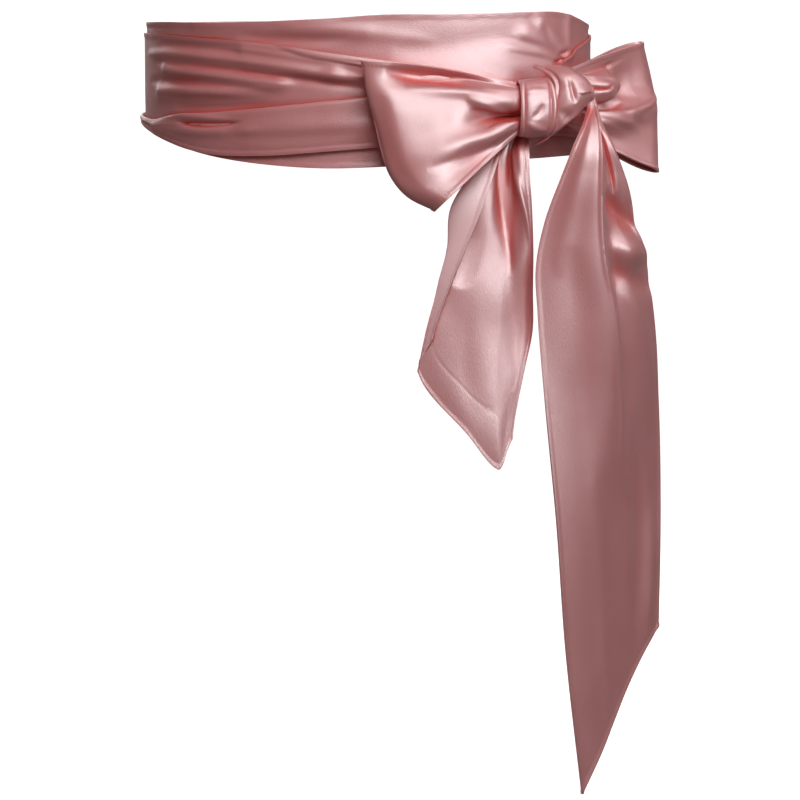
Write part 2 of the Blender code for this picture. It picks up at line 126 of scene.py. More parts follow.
WRAP_EDGES = table(
    "angle  inner_top  inner_low  outer_top  fold_lip  tuck  outer_low",
    (-180, 45.0, -20.5, 38.5, -12.5, 4.0, -18.5),
    (-166, 45.0, -23.0, 38.0, -14.5, 4.5, -21.5),
    (-158, 45.0, -26.0, 37.4, -15.6, 6.0, -24.6),
    (-150, 44.9, -29.5, 36.6, -13.6, 8.0, -28.5),
    (-142, 44.5, -33.2, 35.6, -11.6, 9.0, -32.4),
    (-134, 44.2, -36.5, 34.6, -10.8, 9.0, -35.2),
    (-116, 44.8, -41.6, 31.4, -7.4, 10.0, -36.0),
    (-100, 46.4, -43.6, 25.6, -3.3, 10.0, -33.2),
    (-86, 48.9, -42.6, 20.9, 0.0, 10.0, -30.3),
    (-70, 49.2, -40.2, 15.9, -1.0, 9.0, -27.6),
    (-56, 50.0, -39.4, 10.4, -5.0, 7.0, -25.8),
    (-42, 50.9, -38.6, 8.2, -8.0, 5.0, -24.6),
    (-33, 51.0, -38.0, 18.6, -7.0, 5.0, -25.0),
    (-24, 48.5, -37.6, 27.6, -4.0, 6.0, -26.5),
    (-12, 44.6, -37.0, 33.8, -2.0, 8.0, -28.5),
    (6, 43.0, -35.0, 37.6, -2.0, 9.0, -29.0),
    (40, 44.0, -33.0, 36.0, -5.0, 9.0, -28.0),
    (80, 46.0, -33.5, 33.5, -8.0, 9.0, -29.0),
    (120, 46.5, -30.0, 35.5, -9.0, 8.0, -26.5),
    (150, 45.5, -24.0, 38.0, -11.0, 6.0, -21.5),
    (180, 45.0, -20.5, 38.5, -12.5, 4.0, -18.5),
)

# Soft folds of the wraps; along is the angle times MM_PER_DEGREE, across is the height
INNER_FOLDS = table(
    "from_along  from_across  to_along  to_across  width  size",
    (-84, 44, -58, 24, 5.0, 1.6),
    (-96, 38, -72, 21, 5.0, 1.2),
    (-56, 46, -56, 30, 5.0, 1.4),
    (-290, 42, -190, 39, 5.0, 0.8),
    (60, 42, 190, 45, 5.0, 1.2),
    (200, 41, 330, 42, 5.0, 1.0),
)
OUTER_FOLDS = table(
    "from_along  from_across  to_along  to_across  width  size",
    (-318, 18, -205, 13, 5.0, 2.0),
    (-205, 13, -120, 2, 5.0, 1.8),
    (-325, 2, -235, 6, 6.0, 2.2),
    (-255, 27, -160, 16, 5.0, 2.4),
    (-98, 0, -82, 2, 12.0, 3.2),
    (-66, 8, -8, 10, 6.0, 2.2),
    (20, 22, 150, 16, 6.0, 2.0),
    (60, 6, 190, 10, 6.0, 1.8),
    (215, 20, 330, 16, 6.0, 2.2),
    (200, 4, 310, 6, 6.0, 1.6),
)
LOWER_FOLDS = table(
    "from_along  from_across  to_along  to_across  width  size",
    (-330, -20, -270, -20, 5.0, 1.0),
    (-250, -22, -150, -16, 7.0, 1.4),
    (-98, -13, -84, -12, 10.0, 1.6),
    (-60, -18, -20, -14, 5.0, 1.2),
    (40, -16, 180, -20, 6.0, 1.2),
)
LOWER_SHARES = 8.6        # points of the outer section before its lower panel
LIP_REST = 6.0            # height above the lip where the upper panel lies flat


def waist_points(angle, height, offset):
    """Points round the waist, offset outward from the middle of the inner wrap."""
    turn = np.radians(angle)
    return np.stack((WAIST_SHIFT + (WAIST_HALF_WIDTH + offset) * np.cos(turn),
                     (WAIST_HALF_DEPTH + offset) * np.sin(turn),
                     height), axis=1)


def edge(name, angle):
    return read(WRAP_EDGES, "angle", name, angle)


def inner_wrap(u, v):
    """The first turn, smooth and at its full height."""
    angle = 360.0 * u - 180.0
    low = edge("inner_low", angle)
    height = low + (edge("inner_top", angle) - low) * v
    return waist_points(angle, height, fold_height(INNER_FOLDS, angle * MM_PER_DEGREE, height))


def outer_wrap(u, v):
    """The second turn: an upper panel that tucks behind the folded lip of a lower panel."""
    angle = 360.0 * u - 180.0
    top = edge("outer_top", angle)
    lip = edge("fold_lip", angle)
    low = edge("outer_low", angle)
    turn = lip - edge("tuck", angle)
    section = (
        (1.0, top),
        (1.0, top + 0.22 * (lip - top)),
        (1.0, top + 0.48 * (lip - top)),
        (1.0, top + 0.76 * (lip - top)),
        (1.0, turn + 1.4),
        (1.5, turn),
        (2.0, turn + 1.4),
        (2.0, lip - 1.8),
        (2.7, lip),
        (3.3, lip - 1.9),
        (3.0, lip + 0.4 * (low - lip)),
        (2.6, lip + 0.75 * (low - lip)),
        (1.8, low),
    )
    points = [np.stack((np.full_like(angle, layers * LAYER), height), axis=1)
              for layers, height in section]
    offset, height = through(points, v).T
    along = angle * MM_PER_DEGREE
    share = v * (len(section) - 1)
    above = np.clip((height - lip - LIP_REST) / LIP_REST, 0.0, 1.0)
    below = np.clip(share - LOWER_SHARES, 0.0, 1.0)
    offset = offset + above * fold_height(OUTER_FOLDS, along, height)
    offset = offset + below * fold_height(LOWER_FOLDS, along, height)
    offset = offset + fold_height(INNER_FOLDS, along, height)
    return waist_points(angle, height, offset)


# The knot: an upright band round the necks of the bow, and the strand crossing beside it

KNOT_BAND = table(
    "share  x  y  z  yaw  half_height  half_depth",
    (0.00, 93.0, -97.4, -7.4, 8, 15.8, 11.6),
    (0.25, 97.0, -96.4, -7.3, 12, 17.2, 12.6),
    (0.60, 102.5, -94.0, -7.2, 22, 17.6, 12.8),
    (0.85, 106.6, -92.2, -6.9, 31, 17.6, 12.6),
    (1.00, 108.6, -91.2, -6.7, 36, 17.2, 12.0),
)
KNOT_ROUNDNESS = 0.86     # 1 is an ellipse, less is boxier


def rounded(wave):
    """A sine or cosine pushed outward, for a section boxier than an ellipse."""
    return np.sign(wave) * np.abs(wave) ** KNOT_ROUNDNESS


def knot_band(u, v):
    """The upright turn of cloth that holds the necks of the loops."""
    around = 2 * math.pi * u
    x, y, z, yaw, half_height, half_depth = (
        read(KNOT_BAND, "share", name, v)
        for name in ("x", "y", "z", "yaw", "half_height", "half_depth"))
    up = half_height * rounded(np.cos(around))
    out = half_depth * rounded(np.sin(around))
    yaw = np.radians(yaw)
    return np.stack((x + out * np.sin(yaw), y - out * np.cos(yaw), z + up), axis=1)


KNOT_CROSS = table(
    "share  x  top  low  front  back  lean  tuck  begin  end",
    (0.00, 117.2, 17.2, -30.0, -98.0, -76, 15.0, 5.0, -45, 220),
    (0.20, 120.5, 18.4, -25.5, -100.0, -74, 9.0, 1.0, -25, 205),
    (0.45, 126.0, 17.9, -17.5, -99.5, -71, 4.0, 0.0, -5, 190),
    (0.70, 132.2, 13.6, -9.5, -96.0, -72, 1.5, 0.0, 5, 185),
    (0.88, 136.6, 8.4, -4.0, -91.5, -76, 0.0, 0.0, 10, 180),
    (1.00, 139.0, 4.6, -1.6, -87.5, -79, 0.0, 0.0, 10, 180),
)
LEAN_POWER = 4.0          # how tightly the strand's top and foot lean over the band
TUCK_POWER = 8.0          # how tightly its front tucks under the band's edge


def knot_cross(u, v):
    """The strand that crosses beside the band and closes over the right of the knot."""
    x, top, low, front, back, lean, tuck, begin, end = (
        read(KNOT_CROSS, "share", name, v)
        for name in ("x", "top", "low", "front", "back", "lean", "tuck", "begin", "end"))
    around = np.radians(begin + (end - begin) * u)
    up = np.cos(around)
    out = np.sin(around)
    return np.stack((x - lean * np.abs(up) ** LEAN_POWER - tuck * np.abs(out) ** TUCK_POWER,
                     (front + back) / 2 - (back - front) / 2 * out,
                     (top + low) / 2 + (top - low) / 2 * up), axis=1)


# The bow: each loop is one hairpin of cloth from the knot to its turn and back.
# A form table gives how far the front layer stands out, at even shares of the reach.

LEFT_LOOP_EDGES = table(
    "across  front_x  front_y  front_z  back_x  back_y  back_z  turn_x  turn_y  turn_z  lift",
    (0.00, 98, -98.5, 4.4, 98, -95.0, 4.0, -1.2, -119, 21.2, 3.8),
    (0.20, 98, -103.4, 1.8, 98, -92.5, 2.0, 2.2, -120, 0.4, 3.0),
    (0.38, 98, -103.2, -8.4, 98, -91.0, -3.0, 6.9, -121, -18.0, 1.0),
    (0.52, 98, -97.0, -10.0, 98, -91.0, -8.0, 10.2, -121, -32.0, 0.0),
    (0.68, 98, -102.6, -14.0, 98, -91.0, -12.5, 15.5, -122, -47.0, 0.0),
    (0.85, 98, -101.0, -16.8, 98, -92.5, -15.6, 26.5, -123, -60.0, 0.0),
    (1.00, 98, -98.5, -17.2, 98, -94.0, -16.8, 42.5, -124, -68.0, 0.0),
)
LEFT_LOOP_FORM = table(
    "across  neck  near  pinch  inner  middle  outer  rim  turn",
    (0.00, 0, 1.5, 2.5, 3.0, 3.5, 5.0, 7.0, 6.0),
    (0.08, 0, 1.5, 1.0, -1.0, -1.5, 1.0, 6.0, 7.0),
    (0.18, 0, 4.5, 7.5, 7.5, 7.5, 8.0, 9.0, 8.0),
    (0.30, 0, 6.0, 8.5, 9.5, 10.0, 10.5, 10.5, 8.5),
    (0.39, 0, 2.0, 4.0, 10.5, 11.5, 11.5, 11.0, 9.0),
    (0.47, 0, -2.6, 2.6, 11.5, 13.0, 12.5, 11.5, 9.0),
    (0.56, 0, -1.0, 7.0, 13.5, 15.0, 14.0, 12.0, 9.0),
    (0.68, 0, 6.5, 11.5, 15.5, 17.0, 15.5, 12.5, 9.0),
    (0.79, 0, 6.0, 9.5, 11.5, 14.5, 15.0, 13.0, 9.0),
    (0.89, 0, 2.5, 3.5, 6.0, 11.0, 14.0, 13.0, 9.0),
    (1.00, 0, 1.0, 1.0, 5.0, 11.5, 14.5, 13.5, 9.0),
)
LEFT_LOOP_BACK = table(
    "from_along  from_across  to_along  to_across  width  size",
    (38, 9, 74, 11, 7.0, -2.0),
    (88, 6, 66, 26, 8.0, 1.5),
    (66, 26, 36, 33, 8.0, 1.5),
    (26, 98, 47, 85, 9.0, -1.8),
    (47, 85, 74, 76, 10.0, -1.5),
)
RIGHT_LOOP_EDGES = table(
    "across  front_x  front_y  front_z  back_x  back_y  back_z  turn_x  turn_y  turn_z  lift",
    (0.00, 124, -82.6, 16.3, 126, -76.0, 15.0, 173.5, -6, 33.0, 1.5),
    (0.20, 125, -84.0, 9.5, 127, -72.0, 8.0, 178.5, -9, 12.0, 0.0),
    (0.36, 126, -86.0, 2.0, 128, -70.0, 2.0, 181.0, -14, -2.0, 0.0),
    (0.52, 126, -81.0, -3.0, 128, -70.0, -4.0, 181.6, -20, -15.0, 0.0),
    (0.72, 125, -84.2, -10.0, 127, -70.0, -10.0, 181.8, -27, -31.5, 0.0),
    (1.00, 123, -77.0, -17.0, 125, -72.0, -16.0, 181.6, -36, -48.5, -3.0),
)
RIGHT_LOOP_FORM = table(
    "across  neck  near  pinch  inner  middle  outer  rim  turn",
    (0.00, 0, 1.5, 3.0, 4.5, 5.5, 6.0, 6.5, 5.5),
    (0.10, 0, 2.0, 2.5, 3.0, 3.5, 4.5, 6.0, 5.5),
    (0.19, 0, 4.0, 8.0, 5.0, 1.0, 3.0, 6.0, 5.5),
    (0.28, 0, 4.5, 13.0, 8.0, 0.0, 3.0, 6.0, 5.5),
    (0.37, 0, 4.0, 11.0, 4.0, 0.0, 6.0, 9.0, 5.5),
    (0.46, 0, -0.5, 0.0, -1.0, 5.0, 10.5, 10.5, 6.0),
    (0.56, 0, -2.0, -2.0, 5.0, 11.5, 11.0, 9.0, 6.0),
    (0.65, 0, 2.5, 8.0, 12.5, 11.5, 8.5, 7.5, 6.0),
    (0.74, 0, 4.0, 9.0, 9.5, 7.5, 7.0, 7.0, 6.0),
    (0.86, 0, 3.0, 5.0, 5.0, 5.5, 6.0, 6.5, 6.0),
    (1.00, 0, 2.0, 4.0, 5.5, 6.5, 7.0, 7.5, 6.0),
)
RIGHT_LOOP_BACK = table(
    "from_along  from_across  to_along  to_across  width  size",
    (8, 32, 30, 26, 8.0, 2.5),
    (20, 45, 58, 40, 9.0, -2.5),
    (14, 60, 84, 46, 9.0, 2.0),
    (40, 82, 80, 84, 12.0, -1.3),
)
BACK_SWELL = table(
    "reach  left  right",
    (0.00, 0.0, 0.0),
    (0.10, 0.0, 0.4),
    (0.40, 1.0, 2.0),
    (0.65, 3.5, 4.0),
    (0.88, 5.5, 5.0),
    (1.00, 6.0, 5.0),
)
LOOP_TURN = 0.16          # share of the reach that the round of the turn takes
LOOP_REACH = 92.0         # mean length of a loop from neck to turn
LOOP_WIDTH = 102.0        # width of the cloth across a loop
LOOP_SPACING = 1.7        # above 1, the stations lie closer near the turn
PINCH_FADE = 3.2          # how soon the neck's pinch opens out
FREE_REACH = 0.18         # share of the reach where the back's folds grow to full height
LEFT_OUTWARD = (-0.05, -1.0, 0.0)
RIGHT_OUTWARD = (0.8, -0.6, 0.0)


def form_height(form, reach, across):
    """How far the front of a loop stands out, smooth both ways over its form table."""
    columns = [name for name in form if name != "across"]
    heights = np.stack([read(form, "across", name, across) for name in columns])
    last = len(columns) - 1
    place = np.arange(len(reach))
    share = np.clip(reach, 0.0, 1.0) * last
    i = np.minimum(share.astype(int), last - 1)
    t = share - i
    before = heights[np.maximum(i - 1, 0), place]
    start = heights[i, place]
    end = heights[i + 1, place]
    after = heights[np.minimum(i + 2, last), place]
    blend = t * t * (3 - 2 * t)
    return (start * (1 - blend) + end * blend
            + (end - before) / 2 * t * (1 - t) ** 2 + (after - start) / 2 * t * t * (t - 1))


def loop(edges, form, back_folds, side, outward):
    """The surface of a loop; u runs from the front neck round the turn to the back neck."""
    def corner(name, across):
        return np.stack([read(edges, "across", name + axis, across)
                         for axis in ("_x", "_y", "_z")], axis=1)

    def surface(u, v):
        across = 1.0 - v
        front = u < 0.5
        from_turn = np.abs(1.0 - 2.0 * u) ** LOOP_SPACING
        reach = 1.0 - from_turn
        ends = []
        for at in (across, np.zeros_like(v), np.ones_like(v)):
            ends.append(np.where(front[:, None], corner("front", at), corner("back", at)))
        neck, top, low = ends
        line = top + (low - top) * across[:, None]
        points = line + (corner("turn", across) - line) * reach[:, None]
        points = points + (neck - line) * (from_turn ** PINCH_FADE)[:, None]
        points[:, 2] += read(edges, "across", "lift", across) * np.sin(math.pi * reach)
        folds = fold_height(back_folds, reach * LOOP_REACH, across * LOOP_WIDTH)
        back = read(BACK_SWELL, "reach", side, reach) + folds * np.clip(reach / FREE_REACH, 0.0, 1.0)
        height = np.where(front, form_height(form, reach, across), -back)
        round_off = np.sqrt(1.0 - (1.0 - np.minimum(from_turn / LOOP_TURN, 1.0)) ** 2)
        return points + np.outer(height * round_off, outward)
    return surface


# The tails: lines that run down the cloth, from the left margin to the far edge,
# and the height at which the slanted cut ends each of them

LEFT_TAIL = table(
    "z  hem_x  hem_y  fold_x  fold_y  face_x  face_y"
    "  valley_x  valley_y  ridge_x  ridge_y  edge_x  edge_y",
    (-227, 43.0, -111.0, 30.0, -109, 62.0, -107, 81.0, -103, 87.0, -101, 88.0, -99),
    (-200, 42.0, -109.5, 30.0, -108, 62.0, -105.5, 80.0, -102, 87.0, -98.5, 91.0, -96),
    (-167, 41.0, -110.0, 32.5, -106, 58.0, -103, 80.0, -99.5, 92.0, -95, 97.5, -91),
    (-143, 42.0, -110.5, 36.5, -106, 60.0, -101.5, 82.0, -97.5, 95.0, -92, 102.5, -86.5),
    (-119, 50.3, -110.5, 43.0, -106.5, 63.0, -101, 84.0, -97.5, 97.0, -92, 102.5, -86),
    (-93, 60.6, -109.5, 49.5, -107, 70.0, -99, 88.0, -94, 98.5, -95, 102.4, -89),
    (-64, 72.4, -107.5, 53.5, -106, 77.0, -98, 90.0, -89, 96.0, -97, 101.2, -92),
    (-48, 78.0, -103.0, 64.0, -101.5, 81.0, -95, 89.0, -87, 94.0, -96, 100.2, -93),
    (-31, 84.2, -97.0, 80.5, -95.0, 86.0, -90.0, 89.5, -86.5, 94.0, -92, 99.8, -90),
    (-26, 87.0, -92.4, 84.5, -89.6, 88.0, -87.0, 91.5, -84.5, 95.0, -88.0, 99.8, -85),
    (-19.1, 91.4, -87.0, 88.8, -85.7, 92.0, -83.9, 94.5, -82.3, 97.0, -82.8, 99.5, -80.5),
)
LEFT_TAIL_ENDS = {"hem": -146, "fold": -168, "face": -205,
                  "valley": -227, "ridge": -216, "edge": -208}

RIGHT_TAIL = table(
    "z  left_x  left_y  panel_x  panel_y  fold_x  fold_y"
    "  valley_x  valley_y  ripple_x  ripple_y  edge_x  edge_y",
    (-431, 134.4, -98, 150.0, -80, 160.0, -66, 170.0, -50, 179.0, -35, 187.0, -18),
    (-340, 123.8, -98, 139.0, -82, 151.0, -66, 163.0, -50, 175.0, -34, 187.2, -18),
    (-259, 117.5, -98, 135.0, -85, 149.0, -70, 163.0, -53, 176.0, -36, 187.5, -20),
    (-185, 110.0, -98, 130.0, -90, 152.0, -80, 163.0, -64, 175.0, -46, 184.5, -28),
    (-132, 105.3, -98, 127.0, -96, 150.5, -90, 156.0, -75, 169.0, -62, 179.5, -44),
    (-104, 104.0, -98, 124.0, -98, 145.5, -95, 151.0, -80, 163.0, -74, 174.5, -54),
    (-76, 109.2, -98, 127.0, -99, 143.2, -98, 149.0, -84, 158.0, -76, 167.0, -65),
    (-48, 119.5, -98, 131.0, -101, 142.9, -100, 147.0, -88, 153.0, -84, 158.6, -75),
    (-30, 126.7, -97, 134.5, -100, 142.6, -99, 145.0, -90, 148.0, -88, 151.3, -82),
    (-14, 133.9, -88.5, 137.5, -91.0, 141.2, -91, 142.0, -86.5, 142.6, -84.5, 143.4, -82),
    (-7, 135.8, -82.8, 137.6, -83.0, 140.0, -82.9, 141.0, -81.1, 141.4, -80.0, 141.8, -79.0),
    (-1, 135.0, -81.6, 136.6, -81.6, 138.2, -81.2, 139.2, -80.0, 139.6, -79.0, 140.0, -78.0),
)
RIGHT_TAIL_ENDS = {"left": -431, "panel": -409, "fold": -392,
                   "valley": -374, "ripple": -357, "edge": -340}
TAIL_SPACING = 1.5        # above 1, the stations lie closer near the knot


def tail(rows, ends):
    """The surface of a tail; u runs down from the knot to the slanted cut, v runs across."""
    top = rows["z"][-1]

    def surface(u, v):
        points = []
        for line, end in ends.items():
            height = top + (end - top) * u ** TAIL_SPACING
            points.append(np.stack((read(rows, "z", line + "_x", height),
                                    read(rows, "z", line + "_y", height),
                                    height), axis=1))
        return through(points, v)
    return surface


# Cloth shells

def grid_normals(points):
    """Unit normals of a grid of points, (columns, rows, 3)."""
    along = np.gradient(points, axis=0)
    across = np.gradient(points, axis=1)
    normals = np.cross(along, across)
    return normals / np.maximum(np.linalg.norm(normals, axis=2, keepdims=True), 1e-9)


def arc_lengths(points, axis):
    """Distances in millimetres along one way of a grid, from its start."""
    steps = np.linalg.norm(np.diff(points, axis=axis), axis=2)
    pad = [(0, 0), (0, 0)]
    pad[axis] = (1, 0)
    return np.pad(np.cumsum(steps, axis=axis), pad)


def hem_relief(distance, along):
    """Extra thickness near a hemmed edge, with the groove of its stitches."""
    inside = np.clip((HEM_WIDTH - distance) / HEM_STEP, 0.0, 1.0)
    groove = np.exp(-((distance - HEM_WIDTH + HEM_STEP) / STITCH_WIDTH) ** 2)
    half = (1.0 - STITCH_REST) / 2.0
    beat = STITCH_REST + half * (1.0 + np.cos(2 * math.pi * along / STITCH_PITCH))
    return HEM_EXTRA * inside - STITCH_GROOVE * groove * beat


class Sheet:
    """The middle surface of a piece of cloth: its points, normals and how thick it is.

    The satin's shiny face is on the side of the normals where face is 1, and behind where it is -1.
    """

    def __init__(self, name, points, thickness, closed, raised, face):
        self.name = name
        self.points = points
        self.thickness = thickness
        self.closed = closed
        self.raised = raised
        self.face = face
        self.normals = sheet_normals(points, closed)


def sheet_normals(points, closed):
    """Unit normals of a sheet's points, which run on over the join of a closed one."""
    if closed:
        return grid_normals(np.concatenate((points[-1:], points, points[:1])))[1:-1]
    return grid_normals(points)


# How deep each place lies in the creases, which sets how much shade the material paints there

DEPTH_STEP = 2            # every so many stations the depth is measured
DEPTH_RAYS = 24           # directions looked into at each of them
DEPTH_REACH = 0.030       # metres, beyond which other cloth doesn't shade a crease
TROUGH_FULL = 4.0         # millimetres, the small fold that counts fully
TROUGH_SHARE = 0.35       # what it adds to the depth
DEPTH_LIFT = 0.0009       # metres, the start of each ray off the cloth


def ray_fan():
    """Directions over a half ball round +Z, evenly spread, leaning to the middle."""
    i = np.arange(DEPTH_RAYS) + 0.5
    up = np.sqrt(1 - i / DEPTH_RAYS)
    out = np.sqrt(1 - up ** 2)
    turn = i * math.pi * (3 - math.sqrt(5))
    return np.stack((out * np.cos(turn), out * np.sin(turn), up), axis=1)


def crease_depths(sheets):
    """For both sides of each sheet, how much shade to paint: from 0 in the open to 1 where near cloth
    closes it in.
    """
    corners = []
    quads = []
    for sheet in sheets:
        coarse = np.concatenate((sheet.points, sheet.points[:1])) if sheet.closed else sheet.points
        coarse = coarse[::DEPTH_STEP, ::DEPTH_STEP] * MM
        index = np.arange(coarse.shape[0] * coarse.shape[1]).reshape(coarse.shape[:2]) + len(corners)
        corners.extend(coarse.reshape(-1, 3).tolist())
        quads.extend(np.stack((index[:-1, :-1].ravel(), index[1:, :-1].ravel(),
                               index[1:, 1:].ravel(), index[:-1, 1:].ravel()), axis=1).tolist())
    tree = BVHTree.FromPolygons(corners, quads)
    fan = ray_fan()
    for sheet in sheets:
        spots = sheet.points[::DEPTH_STEP, ::DEPTH_STEP]
        normals = sheet.normals[::DEPTH_STEP, ::DEPTH_STEP]
        sides = []
        for facing in (1.0, -1.0):
            ahead = (normals * facing).reshape(-1, 3)
            start = spots.reshape(-1, 3) * MM + ahead * DEPTH_LIFT
            guide = np.where(np.abs(ahead[:, 2:]) < 0.8, [[0.0, 0.0, 1.0]], [[1.0, 0.0, 0.0]])
            across = np.cross(ahead, guide)
            across /= np.linalg.norm(across, axis=1, keepdims=True)
            along = np.cross(ahead, across)
            shade = np.zeros(len(start))
            for x, y, z in fan:
                heading = across * x + along * y + ahead * z
                for k in range(len(start)):
                    hit = tree.ray_cast(start[k], heading[k], DEPTH_REACH)
                    if hit[0] is not None:
                        shade[k] += 1.0 - hit[3] / DEPTH_REACH
            sides.append((shade / DEPTH_RAYS).reshape(spots.shape[:2]))
        sheet.depths = []
        for side, away in zip(sides, (-sheet.raised, sheet.raised)):
            trough = np.clip(away / TROUGH_FULL, 0.0, 1.0)
            sheet.depths.append(spread(side, sheet.points.shape[:2]) + TROUGH_SHARE * trough)


def spread(coarse, shape):
    """A coarse grid of values brought to the full grid by straight steps."""
    full = coarse
    for axis in (0, 1):
        at = np.minimum(np.arange(shape[axis]) / DEPTH_STEP, full.shape[axis] - 1)
        low = np.floor(at).astype(int)
        high = np.minimum(low + 1, full.shape[axis] - 1)
        share = at - low
        share = share[:, None] if axis == 0 else share[None, :]
        full = np.take(full, low, axis) * (1 - share) + np.take(full, high, axis) * share
    return full


def make_sheet(name, surface, relief, columns, rows, closed=False, hems="low top", face=1):
    """The sheet on surface(u, v), thicker in its hems; relief(u, v, points) adds its small folds."""
    u = np.linspace(0.0, 1.0, columns + 1)
    if closed:
        u = u[:-1]
    v = np.linspace(0.0, 1.0, rows + 1)
    grid_u, grid_v = (place.ravel() for place in np.meshgrid(u, v, indexing="ij"))
    points = surface(grid_u, grid_v)
    normals = sheet_normals(points.reshape(len(u), len(v), 3), closed).reshape(-1, 3)
    raised = relief(grid_u, grid_v, points)
    points = (points + normals * raised[:, None]).reshape(len(u), len(v), 3)
    across = arc_lengths(points, 1)
    along = arc_lengths(points, 0)
    thickness = np.full(across.shape, CLOTH)
    if "low" in hems:
        thickness += hem_relief(across, along)
    if "top" in hems:
        thickness += hem_relief(across[:, -1:] - across, along)
    if "end" in hems:
        thickness += hem_relief(along[-1:, :] - along, across)
    return Sheet(name, points, thickness, closed, raised.reshape(len(u), len(v)), face)


def shell(sheet):
    """The closed thin mesh of a sheet, with its cloth map and the depths that set its painted crease
    shade.
    """
    half = sheet.normals * (sheet.thickness / 2)[:, :, None]
    front = (sheet.points + half).reshape(-1, 3)
    back = (sheet.points - half).reshape(-1, 3)
    count_u, count_v = sheet.points.shape[:2]
    size = count_u * count_v
    index = np.arange(size).reshape(count_u, count_v)
    if sheet.closed:
        index = np.concatenate((index, index[:1]))
    a, b = index[:-1, :-1].ravel(), index[1:, :-1].ravel()
    c, d = index[1:, 1:].ravel(), index[:-1, 1:].ravel()
    faces = [np.stack((a, b, c, d), 1), np.stack((d, c, b, a), 1) + size]
    rims = [index[::-1, 0], index[:, -1]]
    if not sheet.closed:
        rims += [index[0], index[-1, ::-1]]
    for rim in rims:
        faces.append(np.stack((rim[:-1], rim[1:], rim[1:] + size, rim[:-1] + size), 1))
    mesh = bpy.data.meshes.new(sheet.name)
    mesh.from_pydata((np.concatenate((front, back)) * MM).tolist(), [], np.concatenate(faces).tolist())
    mesh.shade_smooth()
    mesh.set_sharp_from_angle(angle=math.radians(60))
    flat = np.stack((arc_lengths(sheet.points, 0).ravel(), arc_lengths(sheet.points, 1).ravel()), 1) * MM
    flat = np.concatenate((flat, flat))
    loops = np.empty(len(mesh.loops), dtype=np.int32)
    mesh.loops.foreach_get("vertex_index", loops)
    mesh.uv_layers.new(name="cloth").data.foreach_set("uv", flat[loops].ravel())
    # The depth of each place, which the material turns into shade painted into the creases
    depth = mesh.attributes.new("depth", "FLOAT", "POINT")
    depth.data.foreach_set("value", np.concatenate([side.ravel() for side in sheet.depths]))
    reverse = mesh.attributes.new("reverse", "FLOAT", "POINT")
    reverse.data.foreach_set("value", np.repeat((0.0, 1.0) if sheet.face > 0 else (1.0, 0.0), size))
    mesh.materials.append(bpy.data.materials["sash_satin"])
    piece = bpy.data.objects.new(sheet.name, mesh)
    bpy.context.scene.collection.objects.link(piece)
    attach(piece, "root")
    return piece


# Small folds: each is a soft ridge or trough along a curve, and fades to both of its ends.
# Along and across are millimetres of cloth, measured as each relief function says.

CREASE_STEPS = 10         # straight steps along a crease
CREASE_END = 2.6          # the higher, the closer to its ends a crease keeps its depth
CREASE_POINT = 0.45       # share of its width that a crease keeps at its ends


def crease_table(*rows):
    """A crease in each row: its two ends and middle, its width, and its height or depth."""
    return table("from_along  from_across  mid_along  mid_across  to_along  to_across"
                 "  width  size", *rows)


def crease_height(creases, along, across):
    """Height of the creases of a table at places on the cloth."""
    height = np.zeros_like(along)
    steps = np.linspace(0.0, 1.0, CREASE_STEPS + 1)
    for k in range(len(creases["size"])):
        line = []
        for way in ("_along", "_across"):
            start, middle, end = (creases[place + way][k] for place in ("from", "mid", "to"))
            bend = 2.0 * middle - (start + end) / 2.0
            line.append((1 - steps) ** 2 * start + 2 * steps * (1 - steps) * bend + steps ** 2 * end)
        nearest = np.full(along.shape, np.inf)
        share = np.zeros_like(along)
        for step in range(CREASE_STEPS):
            way_along = line[0][step + 1] - line[0][step]
            way_across = line[1][step + 1] - line[1][step]
            past_along = along - line[0][step]
            past_across = across - line[1][step]
            part = np.clip((past_along * way_along + past_across * way_across)
                           / (way_along ** 2 + way_across ** 2), 0.0, 1.0)
            gap = (past_along - part * way_along) ** 2 + (past_across - part * way_across) ** 2
            closer = gap < nearest
            nearest = np.where(closer, gap, nearest)
            share = np.where(closer, (step + part) / CREASE_STEPS, share)
        fade = 1.0 - np.abs(2.0 * share - 1.0) ** CREASE_END
        width = creases["width"][k] * (CREASE_POINT + (1.0 - CREASE_POINT) * fade)
        height += creases["size"][k] * fade * np.exp(-nearest / width ** 2)
    return height


